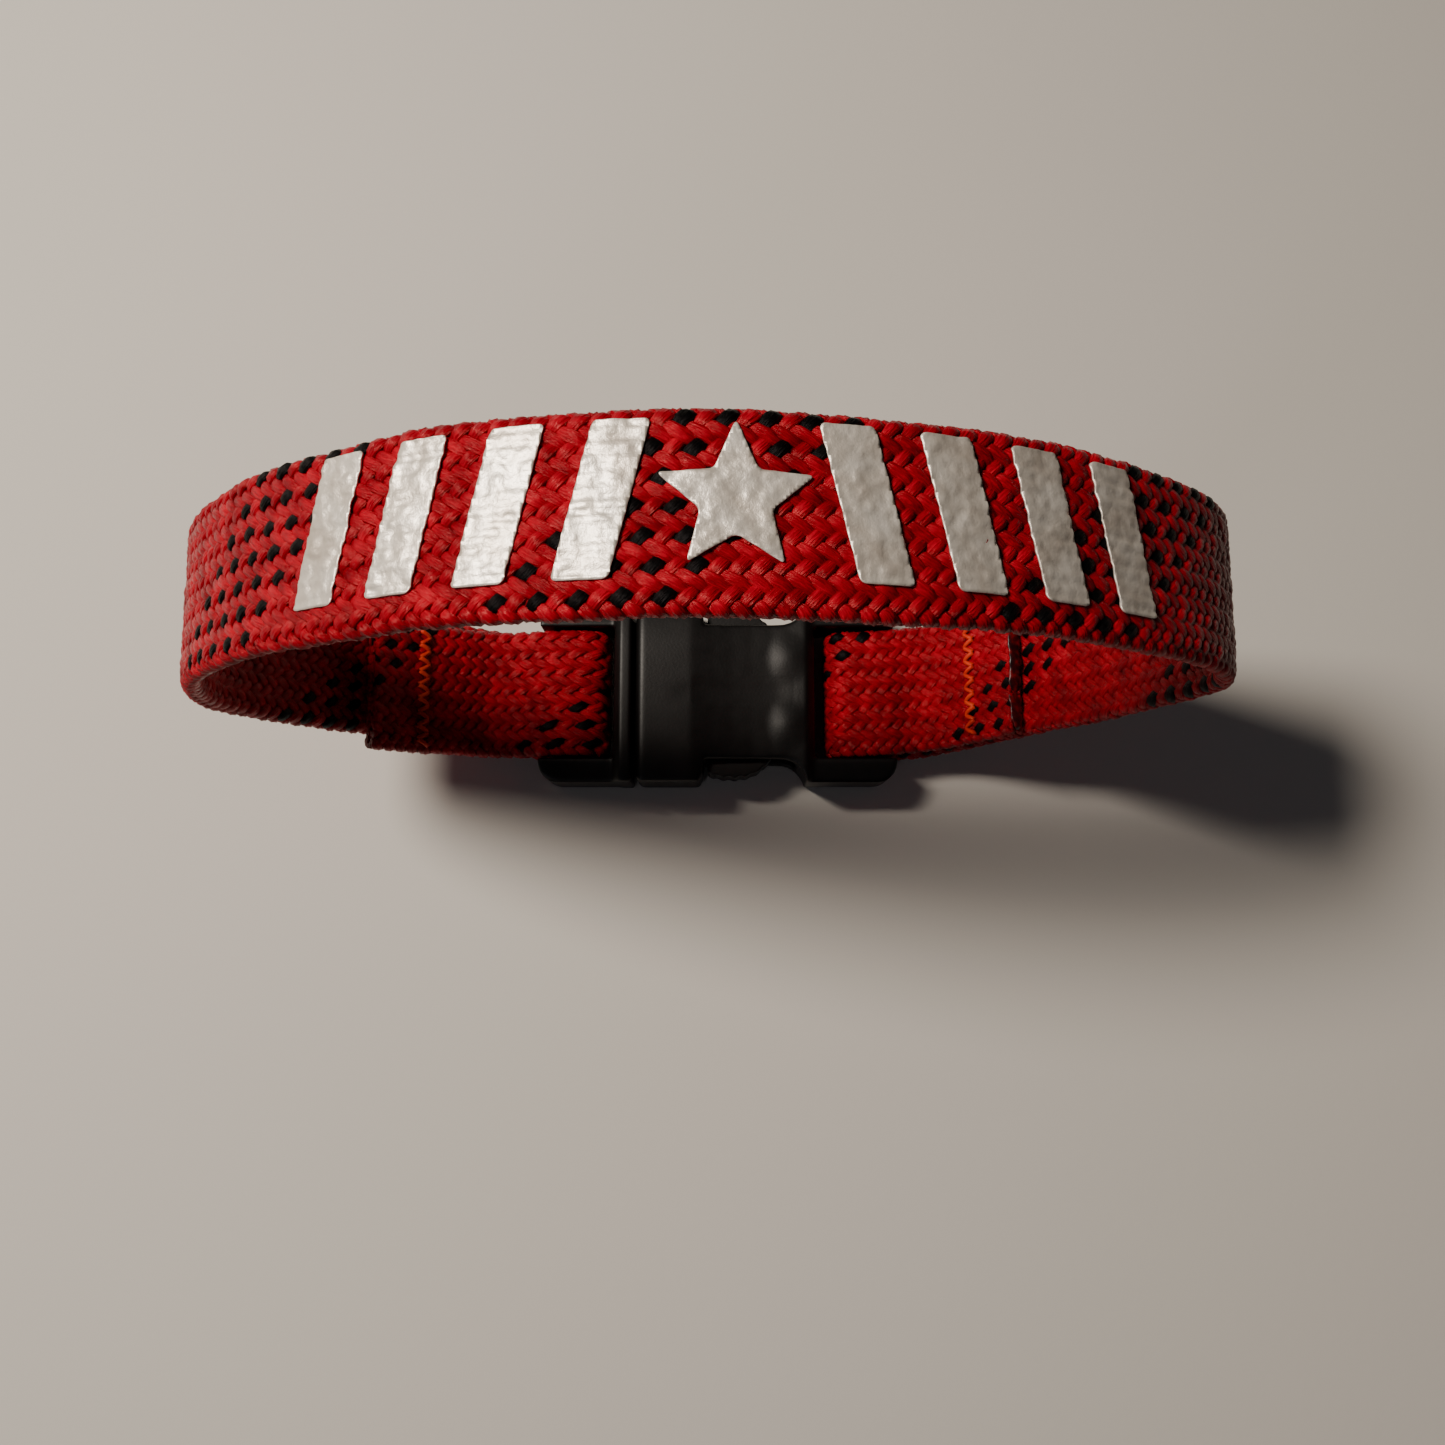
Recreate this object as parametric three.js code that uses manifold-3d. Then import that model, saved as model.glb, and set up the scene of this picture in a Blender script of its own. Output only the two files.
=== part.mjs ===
// Wristband made from one flat skate lace, closed by a small side-release buckle.
//
// The band stands on its buckle. The loop lies in the XZ plane and the lace's width runs
// along Y. The origin is the centre of the buckle's flat underside, +Z points up and +X
// points from the buckle's plug to its socket. Units are millimetres.

import * as THREE from 'three';
import { mergeVertices } from 'three/addons/utils/BufferGeometryUtils.js';
import Module from 'manifold-3d';

const wasm = await Module();
wasm.setup();

// ---------------------------------------------------------------- driving dimensions

// Lace
const LACE_WIDTH = 10.0;
const LACE_THICKNESS = 1.3;
const LACE_EDGE = 0.45; // upright part of the lace's round edge, as a share of its thickness
const LAYER_GAP = 0.3; // between the band and the tail sewn onto it
const LACE_STEP = 1.0; // length of one facet along the lace

// Loop, as the middle line of the lace
const LOOP_LEFT = { x: -33.6, z: 22.0 }; // furthest point on the plug's side
const LOOP_TOP = { x: -1.7, z: 48.2 };
const LOOP_RIGHT = { x: 30.8, z: 28.5 }; // furthest point on the socket's side
const LOOP_SKEW = 1.1; // the loop sits this far towards +Y from the buckle's middle
const SKEW_EASE = 20.0; // length of band over which it moves across

// Buckle, both halves
const BUCKLE_LENGTH = 28.4;
const BUCKLE_THICKNESS = 6.0;
const CORNER_RADIUS = 1.6;
const SLOT_CLEARANCE = 0.3; // lace edge to rail, each side
const RAIL_WIDTH = 1.9;
const RAIL_STEP = 0.6; // rails lie this far inside the body's top and underside
const BAR_THICKNESS = 1.8; // round-edged bar that the lace folds over
const BAR_WIDTH = 3.4;
const BAR_ROUNDNESS = 0.98; // edge radius as a share of half the bar's thickness
const BAR_INSET = 0.8; // bar's outer edge, from the buckle's end
const FOLD_CLEARANCE = 0.15; // lace to bar inside the fold
const OVERLAP = 0.5; // how far pieces that are moulded as one run into each other
const CUT = 1.0; // how far a cutting block runs past what it cuts

// Socket
const SOCKET_SLOT_ROOM = 0.85; // spare room in the socket's lace slot
const SOCKET_WALL = 1.15;
const END_WALL = 1.4; // between the cavity and the lace slot
const MOUTH_BAND = 5.4; // closed ring at the mouth, up to the finger notches
const NOTCH_TO_END = 0.6; // from a notch to the end of the body
const NOTCH_DEPTH = 1.8;
const NOTCH_RUN = 1.1; // run of the curve that ends each notch
const MOUTH_CORNER = 0.6;
const SOCKET_EDGE = 0.4; // chamfer along the body's edges
const GROOVE_WIDTH = 1.0;
const GROOVE_DEPTH = 0.25;
const GROOVE_START = 3.0; // groove's start, before the notches
const GROOVE_END = 1.5; // groove's end, before the end of the notches
const WAIST_DEPTH = 0.35; // shallow dip along the top face
const WAIST_LEAD = 1.0; // dip's start, before the notches

// Plug
const RIM_THICKNESS = 1.4;
const RIM_TO_MOUTH = 0.3;
const FIT_CLEARANCE = 0.3; // plug to socket cavity, all round
const RIM_EDGE = 0.5; // chamfer on the rim's outer edges
const PLUG_SLOT_ROOM = 0.35; // spare room in the plug's lace slot
const HUB_LENGTH = 1.6;
const TONGUE_WIDTH = 2.2;
const TONGUE_CORNER = 0.9;
const TONGUE_TO_END = 0.7; // tongue's tip to the end of the cavity

// Release arms
const ARM_THICKNESS = 1.3;
const ARM_ROOT_GAP = 0.3;
const ARM_INSET = 1.3; // middle of the arm's beam, from the cavity's side
const LATCH_CLEARANCE = 0.3; // pad's shoulder to the closed ring it latches behind
const LATCH_CATCH = 0.35; // height of the shoulder's straight part above the cavity's side
const PAD_TO_NOTCH_END = 2.4;
const PAD_PROUD = 1.4; // pad's crown beyond the floor of the notch
const PAD_FALL = 0.1; // how far the pad has dropped where its tail begins
const PAD_CROWN_AT = 0.42; // place of the crown along the pad
const PAD_TAIL_REACH = 0.4; // how far the crown's curve carries along the pad
const PAD_NOSE = 0.5; // run of the curve at the shoulder
const TIP_TAPER = 0.3; // inner face leans in this far by the tip
const TIP_ROUND = 0.8;
const TIP_RISE = 0.4; // start of the pad's curve above the inner face

// Sewn tails
const PLUG_TAIL_LENGTH = 19.0;
const SOCKET_TAIL_LENGTH = 16.4;
const PLUG_TAIL_SKEW = 1.3; // the plug's tail is sewn this far towards -Y from its band
const PLUG_STITCH_AT = 14.8; // distance from the fold to the row of stitches
const SOCKET_STITCH_AT = 12.3;
const TAIL_EASE = 7.0; // length over which a tail comes down onto the band
const THREAD_RADIUS = 0.2;
const THREAD_GAP = 0.2;
const STITCH_THROW = 1.0; // width of the zigzag along the lace
const STITCH_COUNT = 8;
const STITCH_MARGIN = 0.6; // from the row's end to the lace's edge

// Silver film shapes on the outside of the loop
const FILM_THICKNESS = 0.25;
const FILM_GAP = 0.3;
const FILM_NEAR_MARGIN = 1.6; // from the shapes to the lace's near edge
const FILM_FAR_MARGIN = 0.7;
const FILM_PITCH = 5.0; // from one shape to the next, along the lace
const STRIPE_WIDTH = 2.7;
const STRIPE_LEAN = 1.9;
const FILM_ROW_SHIFT = 1.1; // centre of the row, from the loop's top point
const STRIPES_PER_SIDE = 4;
const STAR_WAIST = 0.45; // inner radius over outer radius
const STAR_ROOM = 1.2; // extra room on each side of the star

// ---------------------------------------------------------------- derived dimensions

const slotHalfY = LACE_WIDTH / 2 + SLOT_CLEARANCE;
const frameHalfY = slotHalfY + RAIL_WIDTH;
const middleZ = BUCKLE_THICKNESS / 2;
const railLowZ = RAIL_STEP;
const railHighZ = BUCKLE_THICKNESS - RAIL_STEP;
const buckleEndX = BUCKLE_LENGTH / 2;
const barRadius = BAR_THICKNESS / 2;
const barOuterX = buckleEndX - BAR_INSET;
const barEdgeX = barOuterX - BAR_WIDTH;
const foldX = barEdgeX + barRadius;
const foldRadius = barRadius + FOLD_CLEARANCE + LACE_THICKNESS / 2;
const bandZ = middleZ - foldRadius; // band's middle line under the bar
const layerPitch = LACE_THICKNESS + LAYER_GAP;
const laceRoom = FOLD_CLEARANCE + LACE_THICKNESS; // what the lace takes of each slot

const rimBackX = -(barEdgeX - laceRoom - PLUG_SLOT_ROOM);
const rimFaceX = rimBackX + RIM_THICKNESS;
const mouthX = rimFaceX + RIM_TO_MOUTH;
const hubEndX = mouthX + HUB_LENGTH;
const bodyEndX = barEdgeX - laceRoom - SOCKET_SLOT_ROOM;
const cavityEndX = bodyEndX - END_WALL;
const tongueEndX = cavityEndX - TONGUE_TO_END;
const notchStartX = mouthX + MOUTH_BAND;
const notchEndX = bodyEndX - NOTCH_TO_END;
const notchFloorY = frameHalfY - NOTCH_DEPTH;
const cavityHalfY = frameHalfY - SOCKET_WALL;
const cavityHalfZ = middleZ - SOCKET_WALL;
const plugFitY = cavityHalfY - FIT_CLEARANCE;
const plugFitZ = cavityHalfZ - FIT_CLEARANCE;
const armCentreY = cavityHalfY - ARM_INSET;
const armRootX = hubEndX + ARM_ROOT_GAP;
const padShoulderX = notchStartX + LATCH_CLEARANCE;
const padEndX = notchEndX - PAD_TO_NOTCH_END;

const filmHeight = LACE_WIDTH - FILM_NEAR_MARGIN - FILM_FAR_MARGIN;
const filmOffset = (FILM_NEAR_MARGIN - FILM_FAR_MARGIN) / 2; // row's middle, towards the far edge

// ---------------------------------------------------------------- helpers

function toSolid(geometry) {
  const bare = geometry.index ? geometry.toNonIndexed() : geometry.clone();
  bare.deleteAttribute('normal');
  bare.deleteAttribute('uv');
  const merged = mergeVertices(bare, 1e-5);
  return new wasm.Manifold(new wasm.Mesh({
    numProp: 3,
    vertProperties: new Float32Array(merged.attributes.position.array),
    triVerts: new Uint32Array(merged.index.array),
  }));
}

function toGeometry(solid) {
  const mesh = solid.getMesh();
  const geometry = new THREE.BufferGeometry();
  geometry.setAttribute('position', new THREE.BufferAttribute(mesh.vertProperties, 3));
  geometry.setIndex(new THREE.BufferAttribute(mesh.triVerts, 1));
  geometry.computeVertexNormals();
  return geometry;
}

// Solid under a plan outline (x, y), from height low to height high.
function planPrism(outline, low, high) {
  const geometry = new THREE.ExtrudeGeometry(outline, {
    depth: high - low,
    bevelEnabled: false,
    curveSegments: 6,
  });
  geometry.translate(0, 0, low);
  return toSolid(geometry);
}

// Solid across the buckle under a side outline (x, z), from -halfY to +halfY.
function sidePrism(outline, halfY) {
  const geometry = new THREE.ExtrudeGeometry(outline, {
    depth: 2 * halfY,
    bevelEnabled: false,
    curveSegments: 6,
  });
  geometry.rotateX(Math.PI / 2);
  geometry.translate(0, halfY, 0);
  return toSolid(geometry);
}

function block(x0, x1, y0, y1, z0, z1) {
  const geometry = new THREE.BoxGeometry(x1 - x0, y1 - y0, z1 - z0);
  geometry.translate((x0 + x1) / 2, (y0 + y1) / 2, (z0 + z1) / 2);
  return toSolid(geometry);
}

function roundedOutline(x0, x1, y0, y1, radius) {
  const outline = new THREE.Shape();
  outline.moveTo(x0 + radius, y0);
  outline.lineTo(x1 - radius, y0);
  outline.absarc(x1 - radius, y0 + radius, radius, -Math.PI / 2, 0);
  outline.lineTo(x1, y1 - radius);
  outline.absarc(x1 - radius, y1 - radius, radius, 0, Math.PI / 2);
  outline.lineTo(x0 + radius, y1);
  outline.absarc(x0 + radius, y1 - radius, radius, Math.PI / 2, Math.PI);
  outline.lineTo(x0, y0 + radius);
  outline.absarc(x0 + radius, y0 + radius, radius, Math.PI, 1.5 * Math.PI);
  return outline;
}

function mix(a, b, t) {
  return a + (b - a) * t;
}

function smoothstep(t) {
  const c = THREE.MathUtils.clamp(t, 0, 1);
  return c * c * (3 - 2 * c);
}

const wristband = new THREE.Group();

function addPart(name, geometry, material) {
  const mesh = new THREE.Mesh(geometry, material);
  mesh.name = name;
  wristband.add(mesh);
}

// ---------------------------------------------------------------- materials

const laceMaterial = new THREE.MeshStandardMaterial({ color: '#a5121b', roughness: 0.7, metalness: 0 });
const threadMaterial = new THREE.MeshStandardMaterial({ color: '#c8321e', roughness: 0.6, metalness: 0 });
const filmMaterial = new THREE.MeshStandardMaterial({ color: '#c9c7c4', roughness: 0.35, metalness: 0.8 });
const buckleMaterial = new THREE.MeshStandardMaterial({ color: '#141415', roughness: 0.45, metalness: 0 });

// ---------------------------------------------------------------- middle line of the band

// The band runs from the plug's bar, out to the left, over the top and down to the
// socket's bar. Each handle is the reach of one curve piece towards its next anchor.
const HANDLE = {
  plugOut: 9.0,
  leftDown: 7.0,
  leftUp: 12.5,
  topLeft: 15.5,
  topRight: 17.0,
  rightUp: 7.5,
  rightDown: 6.0,
  socketOut: 9.0,
};

function bezier(from, fromHandle, toHandle, to) {
  const at = (x, z) => new THREE.Vector3(x, 0, z);
  return new THREE.CubicBezierCurve3(at(...from), at(...fromHandle), at(...toHandle), at(...to));
}

const loopPath = new THREE.CurvePath();
loopPath.add(new THREE.LineCurve3(
  new THREE.Vector3(-foldX, 0, bandZ), new THREE.Vector3(-barOuterX, 0, bandZ)));
loopPath.add(bezier(
  [-barOuterX, bandZ], [-barOuterX - HANDLE.plugOut, bandZ],
  [LOOP_LEFT.x, LOOP_LEFT.z - HANDLE.leftDown], [LOOP_LEFT.x, LOOP_LEFT.z]));
loopPath.add(bezier(
  [LOOP_LEFT.x, LOOP_LEFT.z], [LOOP_LEFT.x, LOOP_LEFT.z + HANDLE.leftUp],
  [LOOP_TOP.x - HANDLE.topLeft, LOOP_TOP.z], [LOOP_TOP.x, LOOP_TOP.z]));
loopPath.add(bezier(
  [LOOP_TOP.x, LOOP_TOP.z], [LOOP_TOP.x + HANDLE.topRight, LOOP_TOP.z],
  [LOOP_RIGHT.x, LOOP_RIGHT.z + HANDLE.rightUp], [LOOP_RIGHT.x, LOOP_RIGHT.z]));
loopPath.add(bezier(
  [LOOP_RIGHT.x, LOOP_RIGHT.z], [LOOP_RIGHT.x, LOOP_RIGHT.z - HANDLE.rightDown],
  [barOuterX + HANDLE.socketOut, bandZ], [barOuterX, bandZ]));
loopPath.add(new THREE.LineCurve3(
  new THREE.Vector3(barOuterX, 0, bandZ), new THREE.Vector3(foldX, 0, bandZ)));
const loopLength = loopPath.getLength();

// Sideways place of the band's middle line at a distance along it.
function bandY(distance) {
  const fromBuckle = Math.min(distance, loopLength - distance);
  return LOOP_SKEW * smoothstep(fromBuckle / SKEW_EASE);
}

// Point at a distance along the band, shifted across it and towards the wrist (inward).
function onBand(distance, across, inward) {
  const u = THREE.MathUtils.clamp(distance / loopLength, 0, 1);
  const point = loopPath.getPointAt(u);
  const tangent = loopPath.getTangentAt(u);
  return new THREE.Vector3(
    point.x + tangent.z * inward,
    bandY(distance) + across,
    point.z - tangent.x * inward,
  );
}

// ---------------------------------------------------------------- lace

// Height of a tail's middle line above the band's, at a distance from the fold.
function tailHeight(distance) {
  const pastBar = distance - (barOuterX - foldX);
  return mix(2 * foldRadius, layerPitch, smoothstep(pastBar / TAIL_EASE));
}

// Sideways place of the plug's tail, measured from the band under it.
function plugTailDrift(distance) {
  return -PLUG_TAIL_SKEW * smoothstep(distance / PLUG_TAIL_LENGTH);
}

function lacePoints() {
  const points = [];
  for (let s = PLUG_TAIL_LENGTH; s > LACE_STEP / 2; s -= LACE_STEP) {
    points.push(onBand(s, plugTailDrift(s), tailHeight(s)));
  }
  const foldSteps = 6;
  for (let i = 0; i <= foldSteps; i += 1) {
    const a = Math.PI / 2 - (i * Math.PI) / foldSteps;
    points.push(new THREE.Vector3(
      -foldX + foldRadius * Math.cos(a), 0, middleZ + foldRadius * Math.sin(a)));
  }
  const bandSteps = Math.round(loopLength / LACE_STEP);
  for (let i = 1; i < bandSteps; i += 1) {
    points.push(onBand((i * loopLength) / bandSteps, 0, 0));
  }
  for (let i = 0; i <= foldSteps; i += 1) {
    const a = -Math.PI / 2 - (i * Math.PI) / foldSteps;
    points.push(new THREE.Vector3(
      foldX + foldRadius * Math.cos(a), 0, middleZ + foldRadius * Math.sin(a)));
  }
  for (let s = LACE_STEP; s < SOCKET_TAIL_LENGTH + LACE_STEP / 2; s += LACE_STEP) {
    points.push(onBand(loopLength - s, 0, tailHeight(s)));
  }
  return points;
}

// Flattened tube: flat faces with rounded edges.
function laceSection() {
  const w = LACE_WIDTH / 2;
  const t = LACE_THICKNESS / 2;
  const section = new THREE.Shape();
  const edge = t * LACE_EDGE;
  section.moveTo(-w, -edge);
  section.lineTo(-w + t, -t);
  section.lineTo(w - t, -t);
  section.lineTo(w, -edge);
  section.lineTo(w, edge);
  section.lineTo(w - t, t);
  section.lineTo(-w + t, t);
  section.lineTo(-w, edge);
  section.closePath();
  return section;
}

// The lace never twists: its width stays along Y all the way round.
class LacePath extends THREE.CatmullRomCurve3 {
  computeFrenetFrames(segments) {
    const tangents = [];
    const normals = [];
    const binormals = [];
    for (let i = 0; i <= segments; i += 1) {
      const tangent = this.getTangentAt(i / segments).setY(0).normalize();
      const normal = new THREE.Vector3(0, -1, 0);
      tangents.push(tangent);
      normals.push(normal);
      binormals.push(new THREE.Vector3().crossVectors(tangent, normal));
    }
    return { tangents, normals, binormals };
  }
}

const lacePath = new LacePath(lacePoints());
const laceGeometry = new THREE.ExtrudeGeometry(laceSection(), {
  steps: Math.round(lacePath.getLength() / LACE_STEP),
  bevelEnabled: false,
  extrudePath: lacePath,
});
addPart('lace', toGeometry(toSolid(laceGeometry)), laceMaterial);

// ---------------------------------------------------------------- stitches

// One thread of a zigzag lockstitch: the needle thread lies on the tail's inner face and
// the bobbin thread lies on the band's outer face.
function stitchThread(centre, inward, drift) {
  const points = [];
  const halfRow = LACE_WIDTH / 2 - STITCH_MARGIN;
  for (let i = 0; i <= STITCH_COUNT; i += 1) {
    const side = i % 2 === 0 ? -0.5 : 0.5;
    const across = drift + mix(-halfRow, halfRow, i / STITCH_COUNT);
    points.push(onBand(centre + side * STITCH_THROW, across, inward));
  }
  const section = new THREE.Shape();
  section.absarc(0, 0, THREAD_RADIUS, 0, 2 * Math.PI);
  const path = new THREE.CatmullRomCurve3(points, false, 'centripetal');
  return toGeometry(toSolid(new THREE.ExtrudeGeometry(section, {
    steps: 3 * STITCH_COUNT,
    curveSegments: 3,
    bevelEnabled: false,
    extrudePath: path,
  })));
}

const threadLift = LACE_THICKNESS / 2 + THREAD_GAP + THREAD_RADIUS;
const plugStitchDrift = plugTailDrift(PLUG_STITCH_AT);
const socketStitchFrom = loopLength - SOCKET_STITCH_AT;
addPart('plug_needle_thread',
  stitchThread(PLUG_STITCH_AT, layerPitch + threadLift, plugStitchDrift), threadMaterial);
addPart('plug_bobbin_thread', stitchThread(PLUG_STITCH_AT, -threadLift, 0), threadMaterial);
addPart('socket_needle_thread',
  stitchThread(socketStitchFrom, layerPitch + threadLift, 0), threadMaterial);
addPart('socket_bobbin_thread', stitchThread(socketStitchFrom, -threadLift, 0), threadMaterial);

// ---------------------------------------------------------------- silver film shapes

function stripeOutline(lean) {
  const half = filmHeight / 2;
  const w = STRIPE_WIDTH / 2;
  return new THREE.Shape([
    new THREE.Vector2(-w - lean / 2, -half),
    new THREE.Vector2(w - lean / 2, -half),
    new THREE.Vector2(w + lean / 2, half),
    new THREE.Vector2(-w + lean / 2, half),
  ]);
}

function starOutline() {
  const outer = filmHeight / 2;
  const points = [];
  for (let i = 0; i < 10; i += 1) {
    const radius = i % 2 === 0 ? outer : outer * STAR_WAIST;
    const a = Math.PI / 2 + (i * Math.PI) / 5;
    points.push(new THREE.Vector2(radius * Math.cos(a), radius * Math.sin(a)));
  }
  return new THREE.Shape(points);
}

// Bends a flat film shape onto the outside of the band, centred at a distance along it.
function filmOnBand(outline, centre) {
  const flat = new THREE.ExtrudeGeometry(outline, { depth: FILM_THICKNESS, bevelEnabled: false });
  const position = flat.attributes.position;
  for (let i = 0; i < position.count; i += 1) {
    const lift = LACE_THICKNESS / 2 + FILM_GAP + position.getZ(i);
    const across = position.getY(i) + filmOffset;
    const bent = onBand(centre + position.getX(i), across, -lift);
    position.setXYZ(i, bent.x, bent.y, bent.z);
  }
  return toGeometry(toSolid(flat));
}

// Distance along the band of its highest point.
function distanceToTop() {
  let best = 0;
  const samples = 2000;
  for (let i = 0; i <= samples; i += 1) {
    if (loopPath.getPointAt(i / samples).z > loopPath.getPointAt(best / samples).z) {
      best = i;
    }
  }
  return (best / samples) * loopLength;
}

const filmCentre = distanceToTop() + FILM_ROW_SHIFT;
addPart('film_star', filmOnBand(starOutline(), filmCentre), filmMaterial);
for (let i = 1; i <= STRIPES_PER_SIDE; i += 1) {
  const reach = STAR_ROOM + i * FILM_PITCH;
  addPart(`film_stripe_left_${i}`,
    filmOnBand(stripeOutline(STRIPE_LEAN), filmCentre - reach), filmMaterial);
  addPart(`film_stripe_right_${i}`,
    filmOnBand(stripeOutline(-STRIPE_LEAN), filmCentre + reach), filmMaterial);
}

// ---------------------------------------------------------------- buckle socket

// Bar with round edges across a frame; side is +1 at the socket's end, -1 at the plug's.
function laceBar(side) {
  const x0 = Math.min(side * barEdgeX, side * barOuterX);
  const x1 = Math.max(side * barEdgeX, side * barOuterX);
  const outline = roundedOutline(
    x0, x1, middleZ - barRadius, middleZ + barRadius, barRadius * BAR_ROUNDNESS);
  return sidePrism(outline, slotHalfY + RAIL_WIDTH / 2);
}

// Two side rails from bodyX out to the buckle's end.
function rails(bodyX, side) {
  const x0 = Math.min(bodyX, side * buckleEndX);
  const x1 = Math.max(bodyX, side * buckleEndX);
  const innerEnd = side > 0 ? x0 - CORNER_RADIUS : x0;
  const outerEnd = side > 0 ? x1 : x1 + CORNER_RADIUS;
  const plan = roundedOutline(innerEnd, outerEnd, -frameHalfY, frameHalfY, CORNER_RADIUS);
  const slot = block(
    innerEnd - CUT, outerEnd + CUT, -slotHalfY, slotHalfY, railLowZ - CUT, railHighZ + CUT);
  const keep = block(
    x0, x1, -frameHalfY - CUT, frameHalfY + CUT, railLowZ - CUT, railHighZ + CUT);
  return planPrism(plan, railLowZ, railHighZ).subtract(slot).intersect(keep);
}

function socketPlan() {
  const y = frameHalfY;
  const floorEnd = notchEndX - 2 * NOTCH_RUN;
  const bend = notchEndX - NOTCH_RUN / 2;
  const plan = new THREE.Shape();
  plan.moveTo(mouthX, -y + MOUTH_CORNER);
  plan.quadraticCurveTo(mouthX, -y, mouthX + MOUTH_CORNER, -y);
  plan.lineTo(notchStartX - MOUTH_CORNER, -y);
  plan.quadraticCurveTo(notchStartX, -y, notchStartX, -notchFloorY);
  plan.lineTo(floorEnd, -notchFloorY);
  plan.quadraticCurveTo(bend, -notchFloorY, notchEndX, -y);
  plan.lineTo(bodyEndX, -y);
  plan.lineTo(bodyEndX, y);
  plan.lineTo(notchEndX, y);
  plan.quadraticCurveTo(bend, notchFloorY, floorEnd, notchFloorY);
  plan.lineTo(notchStartX, notchFloorY);
  plan.quadraticCurveTo(notchStartX, y, notchStartX - MOUTH_CORNER, y);
  plan.lineTo(mouthX + MOUTH_CORNER, y);
  plan.quadraticCurveTo(mouthX, y, mouthX, y - MOUTH_CORNER);
  return plan;
}

// Side outline of the socket's body: flat below, with a shallow waist on top.
function socketSide() {
  const edge = SOCKET_EDGE;
  const top = BUCKLE_THICKNESS;
  const waistX = (notchStartX + notchEndX) / 2;
  const side = new THREE.Shape();
  side.moveTo(mouthX, edge);
  side.lineTo(mouthX + edge, 0);
  side.lineTo(bodyEndX - edge, 0);
  side.lineTo(bodyEndX, edge);
  side.lineTo(bodyEndX, top - 2 * edge);
  side.lineTo(notchEndX, top - edge / 2);
  side.quadraticCurveTo(waistX, top - 2 * WAIST_DEPTH, notchStartX - WAIST_LEAD, top);
  side.lineTo(mouthX + edge, top);
  side.lineTo(mouthX, top - edge);
  return side;
}

function makeSocket() {
  const cavity = block(
    mouthX - CUT, cavityEndX, -cavityHalfY, cavityHalfY,
    middleZ - cavityHalfZ, middleZ + cavityHalfZ);
  const groove = block(
    notchStartX - GROOVE_START, notchEndX - GROOVE_END, -GROOVE_WIDTH / 2, GROOVE_WIDTH / 2,
    BUCKLE_THICKNESS - WAIST_DEPTH - GROOVE_DEPTH, BUCKLE_THICKNESS + CUT);
  return planPrism(socketPlan(), 0, BUCKLE_THICKNESS)
    .intersect(sidePrism(socketSide(), frameHalfY + CUT))
    .add(rails(bodyEndX - OVERLAP, 1))
    .add(laceBar(1))
    .subtract(cavity)
    .subtract(groove);
}

addPart('socket', toGeometry(makeSocket()), buckleMaterial);

// ---------------------------------------------------------------- buckle plug

function makePlug() {
  const rimSide = new THREE.Shape([
    new THREE.Vector2(rimBackX, RIM_EDGE),
    new THREE.Vector2(rimBackX + RIM_EDGE, 0),
    new THREE.Vector2(rimFaceX, 0),
    new THREE.Vector2(rimFaceX, BUCKLE_THICKNESS),
    new THREE.Vector2(rimBackX + RIM_EDGE, BUCKLE_THICKNESS),
    new THREE.Vector2(rimBackX, BUCKLE_THICKNESS - RIM_EDGE),
  ]);
  const low = middleZ - plugFitZ;
  const high = middleZ + plugFitZ;
  const rootX = rimFaceX - OVERLAP;
  const halfTongue = TONGUE_WIDTH / 2;
  const tongue = planPrism(
    roundedOutline(rootX, tongueEndX, -halfTongue, halfTongue, TONGUE_CORNER), low, high);
  return sidePrism(rimSide, frameHalfY)
    .add(block(rootX, hubEndX, -plugFitY, plugFitY, low, high))
    .add(tongue)
    .add(rails(rimBackX + OVERLAP, -1))
    .add(laceBar(-1));
}

addPart('plug', toGeometry(makePlug()), buckleMaterial);

// ---------------------------------------------------------------- release arms

// Plan outline of the arm on the far side (+Y): a springy beam that carries the press pad.
function armPlan() {
  const inner = armCentreY - ARM_THICKNESS / 2;
  const outer = armCentreY + ARM_THICKNESS / 2;
  const tipInner = inner - TIP_TAPER;
  const crown = notchFloorY + PAD_PROUD;
  const padLength = padEndX - padShoulderX;
  const crownX = padShoulderX + PAD_CROWN_AT * padLength;
  const tailX = crownX + PAD_TAIL_REACH * padLength;
  const noseRun = Math.min(PAD_NOSE, (crownX - padShoulderX) / 2);
  const tipRound = Math.min(TIP_ROUND, padLength / 2);
  const plan = new THREE.Shape();
  plan.moveTo(armRootX, inner);
  plan.lineTo(padEndX - tipRound, tipInner);
  plan.quadraticCurveTo(padEndX, tipInner, padEndX, inner + TIP_RISE);
  plan.quadraticCurveTo(tailX, crown - PAD_FALL, crownX, crown);
  plan.quadraticCurveTo(padShoulderX + noseRun, crown, padShoulderX, cavityHalfY + LATCH_CATCH);
  plan.lineTo(padShoulderX, outer);
  plan.lineTo(armRootX, outer);
  return plan;
}

function makeArm(side) {
  const arm = planPrism(armPlan(), middleZ - plugFitZ, middleZ + plugFitZ);
  return toGeometry(side > 0 ? arm : arm.mirror([0, 1, 0]));
}

addPart('release_arm_far', makeArm(1), buckleMaterial);
addPart('release_arm_near', makeArm(-1), buckleMaterial);

export default wristband;
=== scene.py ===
# Wristband: one flat red skate lace sewn round the two ends of a small side-release buckle.
# The camera, floor and lights are placed in metres. The pieces are worked out in millimetres, and
# multiplied by MM when their points are set.

import math
import bmesh
import bpy
import numpy as np
from mathutils import Matrix, Vector, noise


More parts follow.
